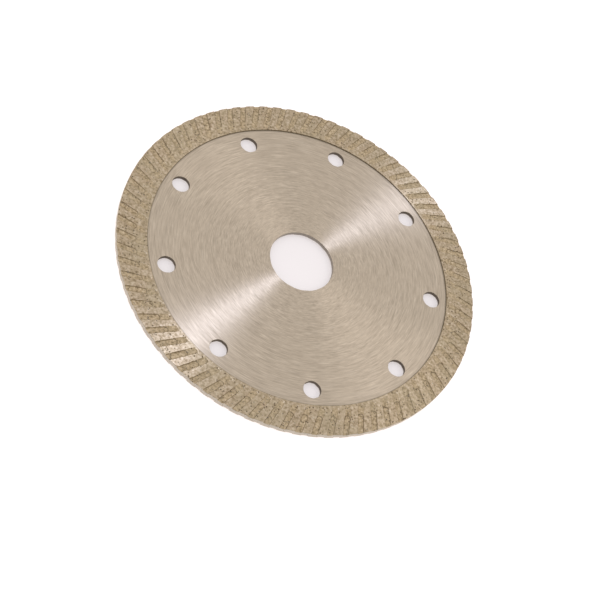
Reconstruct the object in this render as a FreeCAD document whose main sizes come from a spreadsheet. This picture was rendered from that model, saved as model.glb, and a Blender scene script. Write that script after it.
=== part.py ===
import FreeCAD, Part
import Sketcher
import math
import os
import random

V = FreeCAD.Vector
doc = FreeCAD.newDocument("diamond_blade")

# ---------------------------------------------------------------------------
# Driving dimensions, millimetres and degrees
# ---------------------------------------------------------------------------
sheet = doc.addObject("Spreadsheet::Sheet", "dims")
CELLS = [
    ("outer_d", 125.0),          # diameter over the rim
    ("bore_d", 22.23),           # arbor bore
    ("core_thick", 1.4),         # steel core
    ("bore_chamfer", 0.15),      # deburred edges of the bore
    ("tongue_d", 111.2),         # hidden outer edge of the core, under the rim
    ("tongue_thick", 1.2),       # the hidden edge, relieved on both faces
    ("cool_d", 6.0),             # cooling holes
    ("cool_pcd", 94.0),          # their circle
    ("cool_count", 9),
    ("cool_chamfer", 0.12),
    ("key_d", 2.6),              # round keying notches in the hidden edge
    ("key_count", 36),
    ("rim_thick", 2.2),          # over both faces of the rim
    ("rim_inner_d", 105.0),      # where the rim starts, 10 mm of rim width
    ("rim_chamfer", 0.15),
    ("groove_count", 75),        # turbo grooves on each face
    ("groove_wide", 2.1),        # across the groove
    ("groove_lean", 20.3),       # lean of a groove from the radius
    ("groove_long", 8.95),       # from the outer wall to the centre of the rounded inner end
    ("groove_long_deep", 5.95),  # the same for the deep outer length
    ("groove_shallow", 0.16),
    ("groove_deep", 0.4),
    ("groove_run_out", 2.5),     # how far the cutter runs past the wall
    ("groove_start", 1.07),      # angle of the first front groove at the outer wall
    ("groove_stagger", 2.4),     # back grooves lie half a pitch on
    ("grit_size", 0.5),          # nominal crystal size
]
for i, (name, value) in enumerate(CELLS):
    sheet.set("A%d" % (i + 1), name)
    sheet.set("B%d" % (i + 1), repr(value))
    sheet.setAlias("B%d" % (i + 1), name)
doc.recompute()
D = {name: float(getattr(sheet, name)) for name, _ in CELLS}


def plane(body, role):
    for feature in body.Origin.OriginFeatures:
        if feature.Role == role:
            return feature


def new_sketch(body, name, role="XY_Plane"):
    sk = body.newObject("Sketcher::SketchObject", name)
    sk.AttachmentSupport = [(plane(body, role), "")]
    sk.MapMode = "FlatFace"
    return sk


def circle(sk, x, radius, rname, rexpr, xname=None, xexpr=None):
    """A circle centred on the sketch's X axis, driven by the sheet."""
    g = sk.addGeometry(Part.Circle(V(x, 0, 0), V(0, 0, 1), radius), False)
    if xname is None:
        sk.addConstraint(Sketcher.Constraint("Coincident", g, 3, -1, 1))
    else:
        sk.addConstraint(Sketcher.Constraint("PointOnObject", g, 3, -1))
        c = sk.addConstraint(Sketcher.Constraint("DistanceX", -1, 1, g, 3, x))
        sk.renameConstraint(c, xname)
        sk.setExpression("Constraints." + xname, xexpr)
    c = sk.addConstraint(Sketcher.Constraint("Radius", g, radius))
    sk.renameConstraint(c, rname)
    sk.setExpression("Constraints." + rname, rexpr)
    return g


def polar(body, name, originals, count_expr, count):
    p = body.newObject("PartDesign::PolarPattern", name)
    p.Originals = originals
    p.Axis = (plane(body, "Z_Axis"), [""])
    p.Angle = 360
    p.Occurrences = int(count)
    p.setExpression("Occurrences", count_expr)
    body.Tip = p
    return p


# ---------------------------------------------------------------------------
# Steel core: a flat ring with bore and cooling holes, and a thinner, notched
# edge that is hidden in the rim
# ---------------------------------------------------------------------------
core = doc.addObject("PartDesign::Body", "core_body")
core.Label = "steel_core"
sk = new_sketch(core, "core_outline")
circle(sk, 0, D["rim_inner_d"] / 2, "edge_r", "dims.rim_inner_d / 2")
circle(sk, 0, D["bore_d"] / 2, "bore_r", "dims.bore_d / 2")
pad = core.newObject("PartDesign::Pad", "core_plate")
pad.Profile = sk
pad.Midplane = True
pad.setExpression("Length", "dims.core_thick")
doc.recompute()
sk = new_sketch(core, "tongue_outline")
circle(sk, 0, D["tongue_d"] / 2, "tongue_r", "dims.tongue_d / 2")
circle(sk, 0, D["rim_inner_d"] / 2 - 1, "root_r", "dims.rim_inner_d / 2 - 1")
pad = core.newObject("PartDesign::Pad", "core_tongue")
pad.Profile = sk
pad.Midplane = True
pad.setExpression("Length", "dims.tongue_thick")
doc.recompute()
v0 = pad.Shape.Volume

sk = new_sketch(core, "cooling_hole")
circle(sk, D["cool_pcd"] / 2, D["cool_d"] / 2, "hole_r", "dims.cool_d / 2",
       "hole_x", "dims.cool_pcd / 2")
hole = core.newObject("PartDesign::Pocket", "cooling_cut")
hole.Profile = sk
hole.Midplane = True
hole.Type = "Length"
hole.setExpression("Length", "dims.core_thick * 4")
holes = polar(core, "cooling_holes", [hole], "dims.cool_count", D["cool_count"])

sk = new_sketch(core, "key_notch")
circle(sk, D["tongue_d"] / 2, D["key_d"] / 2, "key_r", "dims.key_d / 2",
       "key_x", "dims.tongue_d / 2")
notch = core.newObject("PartDesign::Pocket", "key_cut")
notch.Profile = sk
notch.Midplane = True
notch.Type = "Length"
notch.setExpression("Length", "dims.core_thick * 4")
keys = polar(core, "key_notches", [notch], "dims.key_count", D["key_count"])
doc.recompute()
print("core: plate %.1f, holes cut %.1f, with notches %.1f mm3"
      % (v0, v0 - holes.Shape.Volume, v0 - keys.Shape.Volume))
assert v0 - holes.Shape.Volume > 0.98 * 9 * math.pi * 9 * D["core_thick"]


def edges_of_radius(shape, radius):
    out = []
    for n, e in enumerate(shape.Edges):
        c = e.Curve
        if isinstance(c, Part.Circle) and abs(c.Radius - radius) < 1e-4 and abs(e.Length - 2 * math.pi * radius) < 1e-3:
            out.append("Edge%d" % (n + 1))
    return out


def chamfer(body, name, base, radius, size_expr):
    f = body.newObject("PartDesign::Chamfer", name)
    f.Base = (base, edges_of_radius(base.Shape, radius))
    f.setExpression("Size", size_expr)
    body.Tip = f
    doc.recompute()
    return f


ch = chamfer(core, "bore_edges", keys, D["bore_d"] / 2, "dims.bore_chamfer")
ch = chamfer(core, "cooling_edges", ch, D["cool_d"] / 2, "dims.cool_chamfer")

# ---------------------------------------------------------------------------
# Rim blank: a flat ring, thicker than the core, with turbo grooves on both
# faces.  Each groove leans from the radius, has a round inner end, and steps
# down to its full depth past the core's hidden edge.
# ---------------------------------------------------------------------------
ring = doc.addObject("PartDesign::Body", "ring_body")
ring.Label = "rim_blank"
sk = new_sketch(ring, "ring_outline")
circle(sk, 0, D["outer_d"] / 2, "outer_r", "dims.outer_d / 2")
circle(sk, 0, D["rim_inner_d"] / 2, "inner_r", "dims.rim_inner_d / 2")
rpad = ring.newObject("PartDesign::Pad", "ring_plate")
rpad.Profile = sk
rpad.Midplane = True
rpad.setExpression("Length", "dims.rim_thick")
doc.recompute()
rch = chamfer(ring, "ring_edges", rpad, D["outer_d"] / 2, "dims.rim_chamfer")


def groove(name, side, long_expr, long, deep_expr):
    """One leaning groove.  The sketch's X axis runs inward along the groove
    from the outer wall; side is 1 for the front face and -1 for the back."""
    sk = new_sketch(ring, name + "_outline")
    a = "(dims.groove_start" + (")" if side > 0 else " + dims.groove_stagger)")
    sk.setExpression("AttachmentOffset.Base.x", "dims.outer_d / 2 * cos(%s * 1deg)" % a)
    sk.setExpression("AttachmentOffset.Base.y", "dims.outer_d / 2 * sin(%s * 1deg)" % a)
    sk.setExpression("AttachmentOffset.Base.z", "dims.rim_thick / 2 * %d" % side)
    sk.AttachmentOffset = FreeCAD.Placement(V(0, 0, 0), FreeCAD.Rotation(V(0, 0, 1), 150))
    sk.setExpression("AttachmentOffset.Rotation.Angle",
                     "(180 - dims.groove_lean) * 1deg + %s * 1deg" % a)
    w = D["groove_wide"] / 2
    x0 = -D["groove_run_out"]
    l1 = sk.addGeometry(Part.LineSegment(V(x0, -w, 0), V(long, -w, 0)), False)
    ar = sk.addGeometry(Part.ArcOfCircle(Part.Circle(V(long, 0, 0), V(0, 0, 1), w),
                                         -math.pi / 2, math.pi / 2), False)
    l2 = sk.addGeometry(Part.LineSegment(V(long, w, 0), V(x0, w, 0)), False)
    l3 = sk.addGeometry(Part.LineSegment(V(x0, w, 0), V(x0, -w, 0)), False)
    C = Sketcher.Constraint
    for c in (C("Tangent", l1, 2, ar, 1), C("Tangent", ar, 2, l2, 1),
              C("Coincident", l2, 2, l3, 1), C("Coincident", l3, 2, l1, 1),
              C("Horizontal", l1), C("Vertical", l3), C("PointOnObject", ar, 3, -1)):
        sk.addConstraint(c)
    n = sk.addConstraint(C("Radius", ar, w))
    sk.renameConstraint(n, "end_r")
    sk.setExpression("Constraints.end_r", "dims.groove_wide / 2")
    n = sk.addConstraint(C("DistanceX", -1, 1, ar, 3, long))
    sk.renameConstraint(n, "reach")
    sk.setExpression("Constraints.reach", long_expr)
    n = sk.addConstraint(C("DistanceX", l3, 1, -1, 1, -x0))
    sk.renameConstraint(n, "run_out")
    sk.setExpression("Constraints.run_out", "dims.groove_run_out")
    p = ring.newObject("PartDesign::Pocket", name)
    p.Profile = sk
    p.Type = "Length"
    p.Reversed = side < 0
    p.setExpression("Length", deep_expr)
    doc.recompute()
    return p


before = rch.Shape.Volume
cuts = []
for nm, side in (("front", 1), ("back", -1)):
    for dn, le, ln, de in (("shallow", "dims.groove_long", D["groove_long"], "dims.groove_shallow"),
                           ("deep", "dims.groove_long_deep", D["groove_long_deep"], "dims.groove_deep")):
        f = groove("%s_groove_%s" % (nm, dn), side, le, ln, de)
        took = before - f.Shape.Volume
        print("groove %s %s takes %.3f mm3" % (nm, dn, took))
        assert took > 0.5
        before = f.Shape.Volume
        cuts.append(f)
pattern = polar(ring, "turbo_grooves", cuts, "dims.groove_count", D["groove_count"])
doc.recompute()
print("ring: %.1f mm3 plain, %.1f mm3 grooved" % (rch.Shape.Volume, pattern.Shape.Volume))

# ---------------------------------------------------------------------------
# Diamond grit: blocky crystals, ground flush with the face they sit in.  Each
# is a six- or five-sided double frustum, widest below the surface, so that the
# bond holds it.  They lie on the lands between the grooves, and round the
# outer wall.
# ---------------------------------------------------------------------------
rnd = random.Random(11)


def crystal(n, size, wide, turn, squash):
    """Convex crystal with its flat top at z = 0 and its body below."""
    rings = []
    for z, r in ((0.0, 0.62), (-0.42, 1.0), (-1.0, 0.5)):
        rr = 0.5 * size * wide * r
        rings.append([V(rr * math.cos(turn + 2 * math.pi * k / n),
                        rr * squash * math.sin(turn + 2 * math.pi * k / n),
                        z * size * 0.9) for k in range(n)])
    faces = [Part.Face(Part.makePolygon(rings[0] + [rings[0][0]])),
             Part.Face(Part.makePolygon(rings[2][::-1] + [rings[2][-1]]))]
    for a, b in ((0, 1), (1, 2)):
        for k in range(n):
            m = (k + 1) % n
            q = [rings[a][k], rings[b][k], rings[b][m], rings[a][m], rings[a][k]]
            faces.append(Part.Face(Part.makePolygon(q)))
    s = Part.makeSolid(Part.makeShell(faces))
    if s.Volume < 0:
        s.reverse()
    return s


def place(s, at, z_dir, spin):
    s = s.copy()
    s.Placement = FreeCAD.Placement(at, FreeCAD.Rotation(V(0, 0, 1), z_dir)).multiply(
        FreeCAD.Placement(V(0, 0, 0), FreeCAD.Rotation(V(0, 0, 1), spin)))
    return s


R = D["outer_d"] / 2
LEAN = math.radians(180 - D["groove_lean"])
PITCH = 2 * math.pi / D["groove_count"]


def land_point(start, k, along, across):
    """A point on land k: along from the outer wall, across from the groove line
    half a pitch on, measured round the blade."""
    a = math.radians(start) + PITCH * (k + 0.5)
    x = R + along * math.cos(LEAN)
    y = along * math.sin(LEAN)
    r = math.hypot(x, y)
    t = math.atan2(y, x) + a + across / r
    return r, t


def face_grit(side):
    start = D["groove_start"] + (D["groove_stagger"] if side < 0 else 0)
    out = []
    for k in range(int(D["groove_count"])):
        for n in range(2):
            along = (0.75 + 2.4 * rnd.random()) if n == 0 else (3.85 + 2.3 * rnd.random())
            r, t = land_point(start, k, along, (rnd.random() - 0.5) * 1.1)
            s = crystal(rnd.choice((5, 6)), D["grit_size"] * (0.8 + 0.35 * rnd.random()),
                        1.0, rnd.random() * 6, 0.8 + 0.2 * rnd.random())
            out.append(place(s, V(r * math.cos(t), r * math.sin(t), side * D["rim_thick"] / 2),
                             V(0, 0, side), 360 * rnd.random()))
    return out


def edge_grit():
    drum = Part.makeCylinder(R, 4, V(0, 0, -2))
    out = []
    for k in range(int(D["groove_count"])):
        t = PITCH * (k + 0.15 + 0.7 * rnd.random())
        z = (rnd.random() - 0.5) * 0.5
        s = crystal(rnd.choice((5, 6)), D["grit_size"] * (0.85 + 0.3 * rnd.random()), 1.0,
                    rnd.random() * 6, 0.9)
        s = place(s, V((R + 0.03) * math.cos(t), (R + 0.03) * math.sin(t), z),
                  V(math.cos(t), math.sin(t), 0), 360 * rnd.random())
        out.append(s.common(drum).Solids[0])
    return out


grit = []
for label, solids in (("grit_front", face_grit(1)), ("grit_back", face_grit(-1)),
                      ("grit_edge", edge_grit())):
    f = doc.addObject("Part::Feature", label + "_crystals")
    f.Label = label
    f.Shape = Part.makeCompound(solids)
    f.Placement = FreeCAD.Placement()
    grit.append(f)
    print(label, len(solids), "crystals, %.2f mm3" % f.Shape.Volume)

# ---------------------------------------------------------------------------
# Rim bond: the grooved ring, moulded round the core's hidden edge and round
# every crystal
# ---------------------------------------------------------------------------
seat = doc.addObject("Part::Cut", "bond_round_core")
seat.Base = pattern
seat.Tool = core
pockets = doc.addObject("Part::Compound", "all_crystals")
pockets.Links = grit
bond = doc.addObject("Part::Cut", "bond_round_grit")
bond.Base = seat
bond.Tool = pockets
bond.Label = "rim_bond"
doc.recompute()

NODES = [("steel_core", core), ("rim_bond", bond)] + [(g.Label, g) for g in grit]
for obj in doc.Objects:
    bad = [s for s in obj.State if s in ("Invalid", "Error")]
    if bad:
        raise RuntimeError("%s (%s) is %s" % (obj.Name, obj.Label, bad))
os.makedirs("parts", exist_ok=True)
for name, obj in NODES:
    shape = obj.Shape
    if shape.isNull() or not shape.isValid():
        raise RuntimeError(name + " has no valid shape")
    if name in ("steel_core", "rim_bond") and len(shape.Solids) != 1:
        raise RuntimeError("%s has %d solids" % (name, len(shape.Solids)))
    bb = shape.BoundBox
    print("%-12s solids %3d  faces %5d  volume %9.2f  x %.3f..%.3f  z %.3f..%.3f"
          % (name, len(shape.Solids), len(shape.Faces), shape.Volume, bb.XMin, bb.XMax, bb.ZMin, bb.ZMax))
    shape.exportStep("parts/%s.step" % name)
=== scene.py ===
import math

import bmesh
import bpy
import numpy as np
from mathutils import Matrix, Vector
from mathutils.geometry import delaunay_2d_cdt


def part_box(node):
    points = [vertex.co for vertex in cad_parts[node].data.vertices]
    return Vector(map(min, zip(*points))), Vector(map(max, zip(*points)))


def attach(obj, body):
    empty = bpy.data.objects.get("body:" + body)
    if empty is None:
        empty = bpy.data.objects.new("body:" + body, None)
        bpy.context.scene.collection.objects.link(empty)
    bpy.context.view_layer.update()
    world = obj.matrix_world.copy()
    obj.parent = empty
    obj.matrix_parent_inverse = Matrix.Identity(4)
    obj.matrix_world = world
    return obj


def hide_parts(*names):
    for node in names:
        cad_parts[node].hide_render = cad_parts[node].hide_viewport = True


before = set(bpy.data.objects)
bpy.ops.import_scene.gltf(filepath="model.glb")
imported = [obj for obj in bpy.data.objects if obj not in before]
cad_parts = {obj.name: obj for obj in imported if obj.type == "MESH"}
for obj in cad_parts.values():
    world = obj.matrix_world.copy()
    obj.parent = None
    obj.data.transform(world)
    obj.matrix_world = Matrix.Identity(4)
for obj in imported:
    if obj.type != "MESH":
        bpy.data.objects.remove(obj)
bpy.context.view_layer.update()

MM = 0.001
scene = bpy.context.scene
scene.view_settings.view_transform = "Standard"
scene.view_settings.look = "None"

# ---------------------------------------------------------------------------
# Sizes, millimetres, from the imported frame
# ---------------------------------------------------------------------------
lo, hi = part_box("rim_bond")
R = float(hi[0]) / MM                    # 62.5
RIM_H = float(hi[2]) / MM                # 1.1
lo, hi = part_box("steel_core")
CORE_H = float(hi[2]) / MM               # 0.7
TONGUE = 55.6
RIM_IN = 52.5
BORE = 11.115
HOLE_R, HOLE_C, HOLES = 3.0, 47.0, 9
GROOVES, LEAN, START, STAGGER = 75, math.radians(180 - 20.3), math.radians(1.07), math.radians(2.4)
PITCH = 2 * math.pi / GROOVES
HALF = 1.05                              # half a groove's width
REACH, REACH_DEEP = 8.95, 5.95
SHALLOW, DEEP = 0.16, 0.4
TONGUE_H = 0.6


def make_mesh(name, verts, faces, smooth=True):
    me = bpy.data.meshes.new(name)
    me.from_pydata([tuple(v) for v in verts], [], [tuple(int(i) for i in f) for f in faces])
    me.validate()
    me.update()
    if smooth:
        me.polygons.foreach_set("use_smooth", [True] * len(me.polygons))
    ob = bpy.data.objects.new(name, me)
    scene.collection.objects.link(ob)
    return ob


def value_noise(seed, nr, nt):
    """Smooth noise over the ring: r in mm from RIM_IN, t in turns, periodic in t."""
    g = np.random.default_rng(seed).random((nr + 3, nt))

    def at(r, t):
        x = np.clip((r - RIM_IN) / (R - RIM_IN), 0, 1) * nr
        y = np.mod(t / (2 * np.pi), 1.0) * nt
        i, j = np.floor(x).astype(int), np.floor(y).astype(int) % nt
        fx, fy = x - np.floor(x), y - np.floor(y)
        fx, fy = fx * fx * (3 - 2 * fx), fy * fy * (3 - 2 * fy)
        k = (j + 1) % nt
        return ((g[i, j] * (1 - fx) + g[i + 1, j] * fx) * (1 - fy)
                + (g[i, k] * (1 - fx) + g[i + 1, k] * fx) * fy) - 0.5
    return at


def step(x, a, b):
    u = np.clip((x - a) / (b - a), 0, 1)
    return u * u * (3 - 2 * u)


def theta_at(r, perp):
    """Angle, from its groove's angle at the wall, of the point at radius r whose
    distance from the groove's centre line is perp."""
    return LEAN - np.pi - np.arcsin(np.clip((perp - R * math.sin(LEAN)) / r, -1, 1))


# ---------------------------------------------------------------------------
# Steel core: flat faces, rounded deburred edges at the bore and the holes
# ---------------------------------------------------------------------------
def build_core():
    loops = []           # (cx, cy, radius, segments, edge rounding, +1 outer / -1 hole)
    loops.append((0.0, 0.0, RIM_IN, 288, 0.0, 1))
    loops.append((0.0, 0.0, BORE, 288, 0.15, -1))
    for k in range(HOLES):
        a = 2 * math.pi * k / HOLES
        loops.append((HOLE_C * math.cos(a), HOLE_C * math.sin(a), HOLE_R, 96, 0.12, -1))
    pts2, edges, rings = [], [], []
    for cx, cy, r, n, e, s in loops:
        base = len(pts2)
        rr = r + e if s < 0 else r
        for k in range(n):
            a = 2 * math.pi * (k + 0.5) / n
            pts2.append(Vector((cx + rr * math.cos(a), cy + rr * math.sin(a))))
        edges += [(base + k, base + (k + 1) % n) for k in range(n)]
        rings.append((base, n))
    # inner guide rings keep the flat faces evenly divided
    guide = []
    for rr, n in ((16, 120), (22, 144), (28, 160), (34, 180), (39.5, 200)):
        guide += [Vector((rr * math.cos(2 * math.pi * k / n), rr * math.sin(2 * math.pi * k / n))) for k in range(n)]
    nb = len(pts2)
    out = delaunay_2d_cdt(pts2 + guide, edges, [], 0, 1e-7)
    v2, f2, src = out[0], out[2], out[3]
    keep = []
    for f in f2:
        c = sum((v2[i] for i in f), Vector((0, 0))) / len(f)
        if c.length > RIM_IN or c.length < BORE:
            continue
        if any((c - Vector((cx, cy))).length < r for cx, cy, r, n, e, s in loops[2:]):
            continue
        keep.append(f)
    back = {}
    for i, s in enumerate(src):
        for k in s:
            back[k] = i
    n2 = len(v2)
    verts = [(v.x * MM, v.y * MM, CORE_H * MM) for v in v2] + [(v.x * MM, v.y * MM, -CORE_H * MM) for v in v2]
    faces, flat = [], 0
    for f in keep:
        a = f if (v2[f[1]] - v2[f[0]]).cross(v2[f[2]] - v2[f[0]]) > 0 else f[::-1]
        faces.append(tuple(a))
        faces.append(tuple(i + n2 for i in reversed(a)))
    flat = len(faces)
    for (cx, cy, r, n, e, s), (base, _) in zip(loops, rings):
        prof = []
        if s < 0:
            for q in range(1, 5):        # rounded edge, front
                w = q / 4 * math.pi / 2
                prof.append((r + e * (1 - math.sin(w)), CORE_H - e * (1 - math.cos(w))))
            prof += [(rr, -z) for rr, z in reversed(prof)]
            prof = prof[:-1]             # the last one is the back face's own loop
        else:                            # hidden tongue under the rim
            prof = [(RIM_IN, TONGUE_H), (TONGUE, TONGUE_H), (TONGUE, -TONGUE_H), (RIM_IN, -TONGUE_H)]
        top = [back[base + k] for k in range(n)]
        bot = [back[base + k] + n2 for k in range(n)]
        chain = [top]
        for rr, z in prof:
            row = []
            for k in range(n):
                a = 2 * math.pi * (k + 0.5) / n
                row.append(len(verts))
                verts.append(((cx + rr * math.cos(a)) * MM, (cy + rr * math.sin(a)) * MM, z * MM))
            chain.append(row)
        chain.append(bot)
        for A, B in zip(chain, chain[1:]):
            for k in range(n):
                m = (k + 1) % n
                q = (A[k], B[k], B[m], A[m]) if s > 0 else (A[m], B[m], B[k], A[k])
                faces.append(q)
    ob = make_mesh("steel_core_fine", verts, faces)
    sm = [False] * flat + [True] * (len(ob.data.polygons) - flat)
    ob.data.polygons.foreach_set("use_smooth", sm)
    return ob


# ---------------------------------------------------------------------------
# Rim: slanted grid whose columns run along the grooves and follow their walls
# ---------------------------------------------------------------------------
OFFS = np.array([-0.55, -0.22, -0.09, -0.04, 0.0, 0.03, 0.08])   # columns beside a wall, mm from it
N_LAND = 7
NQ = 1 + 2 * len(OFFS) + N_LAND          # columns in a pitch
land_noise = value_noise(5, 30, 1100)
floor_noise = value_noise(6, 26, 900)
pit_noise = value_noise(8, 22, 800)
wave = value_noise(7, 3, 60)
WALLS = {}
for side_, seed_ in ((1, 31), (-1, 32)):
    g_ = np.random.default_rng(seed_)
    WALLS[side_] = 0.085 * (g_.random((GROOVES, 2, 26)) - 0.5) + 0.05 * (g_.random((GROOVES, 2, 1)) - 0.5)


def wall_shift(side, k, which, r):
    """How far a groove's wall stands out from its nominal line: k and which pick
    the wall, and it varies along the radius."""
    w = WALLS[side]
    x = np.clip((r - RIM_IN) / (R - RIM_IN), 0, 0.9999) * 24
    i = np.floor(x).astype(int)
    f = x - i
    f = f * f * (3 - 2 * f)
    k = np.mod(k, GROOVES).astype(int)
    return w[k, which, i] * (1 - f) + w[k, which, i + 1] * f


def column_angles(side, r):
    """Angles of all columns at radius r, for grooves that start at angle 0."""
    k = np.arange(GROOVES)
    rk = np.full(GROOVES, r)
    ep, em = wall_shift(side, k, 0 * k + 1, rk), wall_shift(side, k, 0 * k, rk)
    mid = theta_at(r, np.zeros((GROOVES, 1)))
    # the angle falls as the distance from the centre line grows
    near = theta_at(r, -(HALF + em[:, None] + OFFS[None, :]))
    far = theta_at(r, HALF + ep[:, None] + OFFS[None, ::-1])
    far = np.roll(far, -1, axis=0) + PITCH
    a0, a1 = near[:, -1:], far[:, :1]
    land = a0 + (a1 - a0) * (np.arange(1, N_LAND + 1) / (N_LAND + 1))[None, :]
    one = np.concatenate([mid, near, land, far], axis=1)
    return (one + (PITCH * k)[:, None]).ravel()


def surface(r, t, off, side):
    """Height above the mid-plane, mm, of one face. off is the angle of groove 0."""
    k = np.round((t - off - theta_at(r, 0.0)) / PITCH)
    u = t - off - k * PITCH
    x, y = r * np.cos(u) - R, r * np.sin(u)
    s = x * math.cos(LEAN) + y * math.sin(LEAN)
    p = -x * math.sin(LEAN) + y * math.cos(LEAN)
    e = wall_shift(side, k, (p > 0).astype(int), r)
    seed = 0.0 if side > 0 else 1.7
    d = HALF + e - np.where(s > REACH, np.hypot(s - REACH, p), np.abs(p))
    d2 = HALF + e - np.where(s > REACH_DEEP, np.hypot((s - REACH_DEEP) * 1.15, p), np.abs(p))
    cut = SHALLOW * step(d, -0.035, 0.13) + (DEEP - SHALLOW) * step(d2, -0.035, 0.25)
    inside = step(d, 0.03, 0.2)
    z = RIM_H - 0.003 - cut
    z -= (1 - inside) * (0.0012 * (land_noise(r, t + seed) + 0.5) + 0.008 * (wave(r, t + seed) + 0.5))
    z -= (1 - inside) * 0.05 * step(pit_noise(r, t + seed), 0.42, 0.48)
    z += inside * (0.07 * floor_noise(r, t + seed))
    return np.minimum(z, RIM_H)


def build_rim():
    rr = np.array([52.5, 52.55, 52.68, 53.0, 53.2, 53.4, 53.7, 54.1, 54.6, 55.1, 55.5, 55.8, 56.0, 56.25, 56.6,
                   57.2, 57.9, 58.6, 59.3, 60.0, 60.7, 61.4, 62.0, 62.36, 62.49])
    ncol = NQ * GROOVES
    faces_z, faces_t = [], []
    for side, off, shift in ((1, START, 0), (-1, START + STAGGER, NQ // 2)):
        T = np.array([column_angles(side, r) for r in rr]) + off
        if shift:
            # start half a pitch earlier, so that both faces' columns meet at the wall
            T = np.concatenate([T[:, -shift:] - 2 * np.pi, T[:, :-shift]], axis=1)
        RR = np.repeat(rr[:, None], ncol, 1)
        Z = surface(RR, T, off, side)
        drop = 0.13 * step(RR, R - 0.17, R + 0.02) + 0.04 * step(-RR, -(RIM_IN + 0.10), -RIM_IN + 0.02)
        Z = Z - drop
        faces_z.append(Z * side)
        faces_t.append(T)
    rings = []
    for j in range(len(rr)):
        rings.append((np.full(ncol, rr[j]), faces_t[0][j], faces_z[0][j]))
    # outer wall
    zt, zb = faces_z[0][-1], faces_z[1][-1]
    tt, tb = faces_t[0][-1], faces_t[1][-1]
    wn = value_noise(9, 8, 1300)
    for q in (0.08, 0.3, 0.5, 0.7, 0.92):
        z = zt + (zb - zt) * q
        t = tt + (tb - tt) * q
        r = np.full(ncol, R) - 0.022 * (wn(RIM_IN + (R - RIM_IN) * q * np.ones(ncol), t) + 0.5)
        rings.append((r, t, z))
    for j in reversed(range(len(rr))):
        rings.append((np.full(ncol, rr[j]), faces_t[1][j], faces_z[1][j]))
    t0, t1 = faces_t[1][0], faces_t[0][0]
    for r, z, q in ((RIM_IN, -TONGUE_H, 0.0), (TONGUE, -TONGUE_H, 0.35), (TONGUE, TONGUE_H, 0.65), (RIM_IN, TONGUE_H, 1.0)):
        rings.append((np.full(ncol, r), t0 + (t1 - t0) * q, np.full(ncol, z)))
    verts = []
    for r, t, z in rings:
        verts.append(np.stack([r * np.cos(t), r * np.sin(t), z], 1))
    V = np.concatenate(verts) * MM
    n = len(rings)
    i = np.arange(ncol)
    m = (i + 1) % ncol
    F = []
    for a in range(n):
        b = (a + 1) % n
        F.append(np.stack([a * ncol + i, b * ncol + i, b * ncol + m, a * ncol + m], 1))
    F = np.concatenate(F)
    me = bpy.data.meshes.new("rim_bond_fine")
    me.vertices.add(len(V))
    me.vertices.foreach_set("co", V.ravel())
    me.loops.add(F.size)
    me.loops.foreach_set("vertex_index", F.ravel())
    me.polygons.add(len(F))
    me.polygons.foreach_set("loop_start", np.arange(0, F.size, 4))
    me.polygons.foreach_set("loop_total", np.full(len(F), 4))
    me.update(calc_edges=True)
    me.validate()
    # hard corner where the wall meets the core, smooth elsewhere
    sm = np.ones(len(F), bool)
    sm[-4 * ncol:] = False
    me.polygons.foreach_set("use_smooth", sm)
    ob = bpy.data.objects.new("rim_bond_fine", me)
    scene.collection.objects.link(ob)
    print("rim faces", len(F))
    return ob


# ---------------------------------------------------------------------------
# Small crystals beside the CAD ones: in the groove floors, on the lands and
# round the wall
# ---------------------------------------------------------------------------
def crystal_shapes(n, seed):
    g = np.random.default_rng(seed)
    out = []
    for k in range(n):
        bm = bmesh.new()
        base = []
        for sx in (-1, 1):
            for sy in (-1, 1):
                for sz in (-1, 1):
                    base.append((sx * 0.62, sy * 0.62, sz * 0.62))
        for a in range(3):
            for s in (-1, 1):
                v = [0, 0, 0]
                v[a] = s * 1.0
                base.append(tuple(v))
        for v in base:
            j = 0.16 * (g.random(3) - 0.5)
            bm.verts.new(Vector(v) + Vector(j))
        bmesh.ops.convex_hull(bm, input=bm.verts)
        bmesh.ops.delete(bm, geom=[v for v in bm.verts if not v.link_faces], context="VERTS")
        bmesh.ops.recalc_face_normals(bm, faces=bm.faces)
        bm.verts.index_update()
        vs = np.array([v.co[:] for v in bm.verts])
        fs = [[v.index for v in f.verts] for f in bm.faces]
        bm.free()
        out.append((vs, fs))
    return out


def rand_rot(g):
    q = g.normal(size=4)
    q /= np.linalg.norm(q)
    w, x, y, z = q
    return np.array([[1 - 2 * (y * y + z * z), 2 * (x * y - z * w), 2 * (x * z + y * w)],
                     [2 * (x * y + z * w), 1 - 2 * (x * x + z * z), 2 * (y * z - x * w)],
                     [2 * (x * z - y * w), 2 * (y * z + x * w), 1 - 2 * (x * x + y * y)]])


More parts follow.
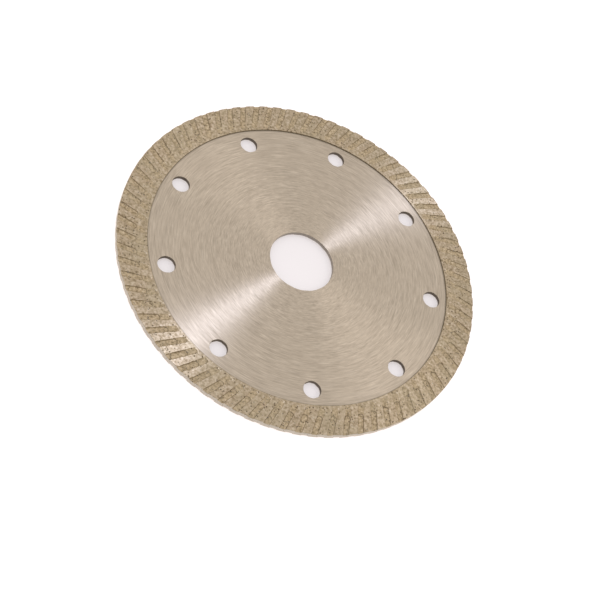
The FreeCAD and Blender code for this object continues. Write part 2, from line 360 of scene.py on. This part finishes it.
def build_grit():
    g = np.random.default_rng(77)
    shapes = crystal_shapes(8, 5)
    V, F, base = [], [], 0

    def put(centre, size, zmax=None, rmax=None):
        nonlocal base
        vs, fs = shapes[int(g.integers(len(shapes)))]
        p = (vs * size * 0.5) @ rand_rot(g).T + centre
        if zmax is not None:
            over = np.abs(p[:, 2]).max() - zmax
            if over > 0:
                p[:, 2] -= math.copysign(over, centre[2])
        if rmax is not None:
            over = np.hypot(p[:, 0], p[:, 1]).max() - rmax
            if over > 0:
                c = np.hypot(centre[0], centre[1])
                p[:, 0] -= over * centre[0] / c
                p[:, 1] -= over * centre[1] / c
        V.append(p)
        F.extend([[base + i for i in f] for f in fs])
        base += len(vs)

    for side, off in ((1, START), (-1, START + STAGGER)):
        n = 1500
        r = RIM_IN + 0.35 + (R - RIM_IN - 0.75) * g.random(n)
        t = 2 * np.pi * g.random(n)
        z = surface(r, t, off, side)
        for i in range(n):
            size = 0.20 + 0.26 * g.random() ** 1.4
            sunk = size * (0.12 + 0.2 * g.random())
            put(np.array([r[i] * math.cos(t[i]), r[i] * math.sin(t[i]), side * (z[i] - sunk)]), size,
                zmax=RIM_H - 0.001, rmax=R - 0.02)
    n = 420
    for i in range(n):
        t = 2 * math.pi * g.random()
        z = (g.random() - 0.5) * 1.1
        size = 0.2 + 0.24 * g.random()
        rr = R - size * (0.15 + 0.2 * g.random())
        put(np.array([rr * math.cos(t), rr * math.sin(t), z]), size, rmax=R - 0.002)
    ob = make_mesh("fine_grit", np.concatenate(V) * MM, F, smooth=False)
    print("fine grit faces", len(F))
    return ob


# ---------------------------------------------------------------------------
# Materials
# ---------------------------------------------------------------------------
class Nodes:
    def __init__(self, name):
        self.m = bpy.data.materials.new(name)
        self.m.use_nodes = True
        self.t = self.m.node_tree
        self.t.nodes.clear()
        self.out = self.t.nodes.new("ShaderNodeOutputMaterial")
        self.bsdf = self.t.nodes.new("ShaderNodeBsdfPrincipled")
        self.link(self.bsdf.outputs[0], self.out.inputs[0])

    def link(self, a, b):
        self.t.links.new(a, b)

    def put(self, sock, value):
        if hasattr(value, "links"):
            self.link(value, sock)
        else:
            sock.default_value = value

    def math(self, op, a, b=None, c=None, clamp=False):
        n = self.t.nodes.new("ShaderNodeMath")
        n.operation = op
        n.use_clamp = clamp
        self.put(n.inputs[0], a)
        if b is not None:
            self.put(n.inputs[1], b)
        if c is not None:
            self.put(n.inputs[2], c)
        return n.outputs[0]

    def coords(self):
        n = self.t.nodes.new("ShaderNodeTexCoord")
        return n.outputs["Object"]

    def split(self, v):
        n = self.t.nodes.new("ShaderNodeSeparateXYZ")
        self.link(v, n.inputs[0])
        return n.outputs[0], n.outputs[1], n.outputs[2]

    def join(self, x, y, z):
        n = self.t.nodes.new("ShaderNodeCombineXYZ")
        self.put(n.inputs[0], x)
        self.put(n.inputs[1], y)
        self.put(n.inputs[2], z)
        return n.outputs[0]

    def noise(self, vec, scale, detail=2.0, rough=0.5, dist=0.0, out="Fac"):
        n = self.t.nodes.new("ShaderNodeTexNoise")
        self.link(vec, n.inputs["Vector"])
        n.inputs["Scale"].default_value = scale
        n.inputs["Detail"].default_value = detail
        n.inputs["Roughness"].default_value = rough
        n.inputs["Distortion"].default_value = dist
        return n.outputs[0]

    def voronoi(self, vec, scale, feature="F1", rand=1.0, out="Distance"):
        n = self.t.nodes.new("ShaderNodeTexVoronoi")
        n.feature = feature
        self.link(vec, n.inputs["Vector"])
        n.inputs["Scale"].default_value = scale
        n.inputs["Randomness"].default_value = rand
        return n.outputs[out]

    def ramp(self, fac, stops):
        n = self.t.nodes.new("ShaderNodeValToRGB")
        self.link(fac, n.inputs[0])
        el = n.color_ramp.elements
        while len(el) < len(stops):
            el.new(0.5)
        for e, (p, c) in zip(el, stops):
            e.position = p
            e.color = (c[0], c[1], c[2], 1) if hasattr(c, "__len__") else (c, c, c, 1)
        return n.outputs[0]

    def maprange(self, v, a, b, c, d, smooth=False):
        n = self.t.nodes.new("ShaderNodeMapRange")
        if smooth:
            n.interpolation_type = "SMOOTHSTEP"
        self.link(v, n.inputs["Value"])
        for k, x in zip(("From Min", "From Max", "To Min", "To Max"), (a, b, c, d)):
            n.inputs[k].default_value = x
        return n.outputs[0]

    def mix(self, fac, a, b, mode="MIX"):
        n = self.t.nodes.new("ShaderNodeMix")
        n.data_type = "RGBA"
        n.blend_type = mode
        self.put(n.inputs["Factor"], fac)
        ins = [s for s in n.inputs if s.type == "RGBA"]
        for s, v in zip(ins, (a, b)):
            if hasattr(v, "links"):
                self.link(v, s)
            else:
                s.default_value = (v[0], v[1], v[2], 1)
        return [s for s in n.outputs if s.type == "RGBA"][0]

    def bump(self, height, strength, dist, normal=None):
        n = self.t.nodes.new("ShaderNodeBump")
        n.inputs["Strength"].default_value = strength
        n.inputs["Distance"].default_value = dist
        self.link(height, n.inputs["Height"])
        if normal is not None:
            self.link(normal, n.inputs["Normal"])
        return n.outputs[0]

    def radial_tangent(self):
        n = self.t.nodes.new("ShaderNodeTangent")
        n.direction_type = "RADIAL"
        n.axis = "Z"
        return n.outputs[0]

    def set(self, **kw):
        names = {"base": "Base Color", "metal": "Metallic", "rough": "Roughness", "normal": "Normal", "aniso": "Anisotropic",
                 "arot": "Anisotropic Rotation", "tan": "Tangent", "ior": "IOR", "spec": "Specular IOR Level",
                 "coat": "Coat Weight", "coat_r": "Coat Roughness", "trans": "Transmission Weight"}
        for k, v in kw.items():
            s = self.bsdf.inputs[names[k]]
            if k == "base" and not hasattr(v, "links"):
                v = (v[0], v[1], v[2], 1)
            self.put(s, v)


def polar(N, P, a=1.0, k=1.0):
    """Seamless polar coordinates: (a cos, a sin, k r) with r in mm."""
    x, y, z = N.split(P)
    r = N.math("SQRT", N.math("ADD", N.math("MULTIPLY", x, x), N.math("MULTIPLY", y, y)))
    cx = N.math("MULTIPLY", N.math("DIVIDE", x, r), a)
    cy = N.math("MULTIPLY", N.math("DIVIDE", y, r), a)
    rm = N.math("MULTIPLY", r, 1000.0 * k)
    return cx, cy, rm, r, z


def steel_material():
    N = Nodes("brushed_steel")
    P = N.coords()
    cx, cy, rm, r, z = polar(N, P, 9.0, 1.0)
    fine = N.noise(N.join(cx, cy, N.math("MULTIPLY", rm, 4.2)), 1.0, 3.0, 0.6)
    cx2, cy2, rm2, _, _ = polar(N, P, 3.4, 1.0)
    broad = N.noise(N.join(cx2, cy2, N.math("MULTIPLY", rm2, 0.9)), 1.0, 3.0, 0.55)
    cx3, cy3, rm3, _, _ = polar(N, P, 26.0, 1.0)
    dash = N.noise(N.join(cx3, cy3, N.math("MULTIPLY", rm3, 2.2)), 1.0, 2.0, 0.5)
    cloud = N.noise(P, 60.0, 3.0, 0.5)
    cx4, cy4, rm4, _, _ = polar(N, P, 8.0, 1.0)
    streak = N.noise(N.join(cx4, cy4, N.math("MULTIPLY", rm4, 2.5)), 1.0, 3.0, 0.6)
    grain = N.math("ADD", N.math("ADD", N.math("MULTIPLY", fine, 0.34), N.math("MULTIPLY", streak, 0.44)),
                   N.math("ADD", N.math("MULTIPLY", broad, 0.12), N.math("MULTIPLY", dash, 0.10)))
    col = N.ramp(grain, [(0.35, (0.395, 0.327, 0.253)), (0.50, (0.548, 0.457, 0.359)), (0.65, (0.700, 0.592, 0.473))])
    col = N.mix(N.maprange(cloud, 0.35, 0.7, 0.0, 0.30), col, (0.555, 0.462, 0.362))
    # deeper single scratches
    scr = N.noise(N.join(N.math("MULTIPLY", cx, 0.6), N.math("MULTIPLY", cy, 0.6), N.math("MULTIPLY", rm, 9.0)), 1.0, 1.0, 0.5)
    line = N.maprange(scr, 0.66, 0.74, 0.0, 1.0)
    col = N.mix(N.math("MULTIPLY", line, 0.35), col, (0.66, 0.59, 0.52))
    # painted shade: darker in the corner against the rim, where the rim's step shades the core
    painted_step_shade = N.maprange(r, 0.0519, 0.0525, 0.0, 0.55, True)
    col = N.mix(painted_step_shade, col, (0.20, 0.165, 0.12))
    # the cut walls of the bore and the holes are dull; their colour is painted shade, dark on the holes' walls and
    # lighter on the bore's
    cut = N.maprange(N.math("ABSOLUTE", z), 0.00058, 0.00066, 1.0, 0.0, True)
    cut_wall_shade_col = N.ramp(N.maprange(r, 0.0125, 0.0135, 0.0, 1.0), [(0.0, (0.420, 0.370, 0.330)), (1.0, (0.175, 0.145, 0.120))])
    col = N.mix(N.math("MULTIPLY", cut, 0.90), col, cut_wall_shade_col)
    rough = N.math("ADD", N.maprange(fine, 0.25, 0.75, 0.355, 0.285), N.math("MULTIPLY", cut, 0.35))
    h = N.math("ADD", N.math("MULTIPLY", fine, 0.6), N.math("MULTIPLY", scr, 0.4))
    N.set(base=col, metal=1.0, rough=rough, aniso=1.0, arot=0.25, tan=N.radial_tangent(),
          normal=N.bump(h, 0.10, 0.00006))
    return N.m


def bond_material():
    N = Nodes("sintered_bond")
    P = N.coords()
    x, y, z = N.split(P)
    az = N.math("ABSOLUTE", z)
    cx, cy, rm, r, _ = polar(N, P, 14.0, 1.0)
    land = N.maprange(az, 0.00100, 0.00103, 0.0, 1.0, True)
    wall = N.maprange(r, 0.06242, 0.06248, 0.0, 1.0, True)
    speck = N.noise(P, 1150.0, 4.0, 0.58)
    patch = N.noise(P, 420.0, 3.0, 0.55)
    big = N.noise(P, 90.0, 2.0, 0.5)
    cells = N.voronoi(P, 980.0)
    grind = N.noise(N.join(cx, cy, N.math("MULTIPLY", rm, 3.6)), 1.0, 2.0, 0.5)
    low = N.ramp(speck, [(0.34, (0.250, 0.180, 0.095)), (0.45, (0.455, 0.340, 0.205)), (0.54, (0.560, 0.425, 0.265)), (0.68, (0.740, 0.590, 0.400))])
    top = N.ramp(speck, [(0.34, (0.280, 0.205, 0.125)), (0.45, (0.465, 0.360, 0.245)), (0.54, (0.560, 0.440, 0.310)), (0.68, (0.720, 0.600, 0.460))])
    col = N.mix(land, low, top)
    # painted shade: the lower part of the deep groove walls, and more weakly the top of the shallow ones, are
    # darkened; not on the outer wall
    side = N.math("MAXIMUM", N.math("MULTIPLY", N.maprange(az, 0.00074, 0.00078, 0.0, 1.0, True), N.maprange(az, 0.00088, 0.00092, 1.0, 0.0, True)),
                  N.math("MULTIPLY", N.maprange(az, 0.00097, 0.00098, 0.0, 0.55, True), N.maprange(az, 0.00101, 0.00103, 1.0, 0.0, True)))
    col = N.mix(N.math("MULTIPLY", side, N.math("SUBTRACT", 0.80, N.math("MULTIPLY", wall, 0.80))), col, (0.130, 0.092, 0.052))
    col = N.mix(N.maprange(patch, 0.35, 0.68, 0.0, 0.40), col, (0.500, 0.400, 0.255))
    col = N.mix(N.maprange(patch, 0.60, 0.75, 0.0, 0.30), col, (0.580, 0.400, 0.295))
    col = N.mix(N.maprange(big, 0.40, 0.62, 0.0, 0.25), col, (0.470, 0.400, 0.270))
    pore = N.maprange(cells, 0.17, 0.30, 1.0, 0.0, True)
    pick = N.maprange(N.noise(P, 420.0, 1.0, 0.5), 0.47, 0.55, 0.0, 1.0)
    pore = N.math("MULTIPLY", pore, pick)
    # painted shade: the pores are darkened in colour, besides being sunk by the bump and made rougher
    col = N.mix(N.math("MULTIPLY", pore, 0.80), col, (0.120, 0.080, 0.045))
    # the wall is ground bare, greyer than the faces; its lighter colour is also painted light from the bright floor
    # below
    col = N.mix(N.math("MULTIPLY", wall, 0.80), col, (0.780, 0.720, 0.640))
    # painted shade: the rim's inner edge is darkened where it steps down to the core
    painted_step_shade = N.maprange(r, 0.05250, 0.05262, 0.7, 0.0, True)
    col = N.mix(painted_step_shade, col, (0.14, 0.105, 0.06))
    rough = N.math("ADD", N.maprange(land, 0.0, 1.0, 0.56, 0.345), N.math("MULTIPLY", pore, 0.3))
    metal = N.maprange(N.math("MAXIMUM", land, wall), 0.0, 1.0, 0.30, 0.95)
    h = N.math("ADD", N.math("ADD", N.math("MULTIPLY", speck, N.maprange(land, 0.0, 1.0, 0.9, 0.05)), N.math("MULTIPLY", grind, 0.10)),
               N.math("MULTIPLY", pore, N.maprange(land, 0.0, 1.0, -1.0, -0.25)))
    N.set(base=col, metal=metal, rough=rough, aniso=1.0, arot=0.25, tan=N.radial_tangent(), spec=0.3,
          normal=N.bump(h, 0.14, 0.00006))
    return N.m


def grit_material(name, dark):
    N = Nodes(name)
    P = N.coords()
    n1 = N.noise(P, 1100.0, 2.0, 0.5)
    col = N.ramp(n1, [(0.40, tuple(c * dark for c in (0.065, 0.045, 0.024))), (0.52, tuple(c * dark for c in (0.16, 0.115, 0.062))),
                      (0.66, tuple(c * dark for c in (0.46, 0.38, 0.25)))])
    rough = N.maprange(N.noise(P, 2300.0, 2.0, 0.5), 0.3, 0.7, 0.12, 0.38)
    N.set(base=col, metal=0.0, rough=rough, ior=2.2, normal=N.bump(n1, 0.25, 0.00004))
    return N.m


def floor_material():
    N = Nodes("pale_floor")
    P = N.coords()
    n = N.noise(P, 14.0, 3.0, 0.5)
    x, y, z = N.split(P)
    r = N.math("SQRT", N.math("ADD", N.math("MULTIPLY", x, x), N.math("MULTIPLY", y, y)))
    col = N.ramp(n, [(0.3, (0.45, 0.42, 0.42)), (0.7, (0.48, 0.45, 0.45))])
    N.set(base=col, rough=0.9)
    N.bsdf.inputs["Emission Color"].default_value = (1.0, 0.945, 0.945, 1)
    # painted shadow: the floor glows, less under the blade than clear of it
    N.put(N.bsdf.inputs["Emission Strength"], N.maprange(r, 0.056, 0.0615, 0.46, 0.78, True))
    return N.m


core = build_core()
rim = build_rim()
grit = build_grit()
steel, bond = steel_material(), bond_material()
crystal, crystal2 = grit_material("crystal", 0.9), grit_material("crystal_small", 0.8)
core.data.materials.append(steel)
rim.data.materials.append(bond)
grit.data.materials.append(crystal2)
for ob, slot in ((core, "steel"), (rim, "bond"), (grit, "grit")):
    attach(ob, "root")
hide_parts("steel_core")
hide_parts("rim_bond")
for n in ("grit_front", "grit_back", "grit_edge"):
    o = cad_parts[n]
    for i in range(len(o.material_slots)):
        o.material_slots[i].material = crystal

# ---------------------------------------------------------------------------
# Floor, light and camera
# ---------------------------------------------------------------------------
bpy.ops.mesh.primitive_plane_add(size=6.0, location=(0, 0, -RIM_H * MM - 0.00002))
floor = bpy.context.object
floor.name = "floor"
floor.data.materials.append(floor_material())

world = bpy.data.worlds.new("studio")
scene.world = world
world.use_nodes = True
wt = world.node_tree
bg = wt.nodes.get("Background") or wt.nodes.new("ShaderNodeBackground")
# a soft tent: brightest overhead, dimmer towards the horizon
tc = wt.nodes.new("ShaderNodeTexCoord")
sep = wt.nodes.new("ShaderNodeSeparateXYZ")
wt.links.new(tc.outputs["Generated"], sep.inputs[0])
rampw = wt.nodes.new("ShaderNodeValToRGB")
wt.links.new(sep.outputs[2], rampw.inputs[0])
els = rampw.color_ramp.elements
els[0].position, els[0].color = 0.0, (0.58, 0.57, 0.56, 1)
els[1].position, els[1].color = 0.62, (0.93, 0.92, 0.91, 1)
e = els.new(0.25)
e.color = (0.74, 0.73, 0.72, 1)
wt.links.new(rampw.outputs[0], bg.inputs[0])
bg.inputs[1].default_value = 1.0

# camera: focal length, distance and attitude of the view
F_PX, DIST, TX, TY, INC, ROLL, PH0 = 1361.97, 7.1754, 0.0014, -0.0285, 0.6437, 0.6314, 2.5226
PX0 = PY0 = 300.0
delta = PH0 - 3 * math.radians(40)
u = np.array([math.cos(ROLL), math.sin(ROLL), 0])
vi = np.array([math.sin(ROLL), -math.cos(ROLL), 0])
v = math.cos(INC) * vi + math.sin(INC) * np.array([0, 0, 1.0])
n = math.sin(INC) * vi - math.cos(INC) * np.array([0, 0, 1.0])
X = math.cos(delta) * u + math.sin(delta) * v
Y = -math.sin(delta) * u + math.cos(delta) * v
A = np.stack([X, Y, n], 1)               # frame axes as seen by the camera
t = np.array([TX * DIST, TY * DIST, DIST]) * R * MM - n * CORE_H * MM
cam_pos = -A.T @ t
right, down, ahead = A.T @ [1, 0, 0], A.T @ [0, 1, 0], A.T @ [0, 0, 1]
M = Matrix(((right[0], -down[0], -ahead[0], cam_pos[0]),
            (right[1], -down[1], -ahead[1], cam_pos[1]),
            (right[2], -down[2], -ahead[2], cam_pos[2]),
            (0, 0, 0, 1)))
cam = bpy.data.cameras.new("camera")
cam.sensor_width = 36.0
cam.lens = F_PX / 600.0 * 36.0
cam.clip_start = 0.01
cam.clip_end = 20.0
cam_ob = bpy.data.objects.new("camera", cam)
scene.collection.objects.link(cam_ob)
cam_ob.matrix_world = M
scene.camera = cam_ob


def disc_dir(ang_deg, elev_deg):
    """Unit direction at an angle in the plane of the blade, seen from the view's own side."""
    a = math.radians(ang_deg) - delta
    e = math.radians(elev_deg)
    return Vector((math.cos(a) * math.cos(e), math.sin(a) * math.cos(e), math.sin(e)))


def area(name, ang, elev, dist, size, power, colour, size_y=None):
    L = bpy.data.lights.new(name, "AREA")
    L.shape = "RECTANGLE" if size_y else "DISK"
    L.size = size
    if size_y:
        L.size_y = size_y
    L.energy = power
    L.color = colour
    o = bpy.data.objects.new(name, L)
    scene.collection.objects.link(o)
    d = disc_dir(ang, elev)
    o.location = d * dist
    o.rotation_euler = (-d).to_track_quat("-Z", "Y").to_euler()
    return o


area("key", 123.0, 75.3, 2.5, 0.25, 5.3, (0.67, 0.75, 1.0))
area("side", 46.0, 49.6, 2.5, 1.2, 2.2, (1.0, 0.97, 0.98))
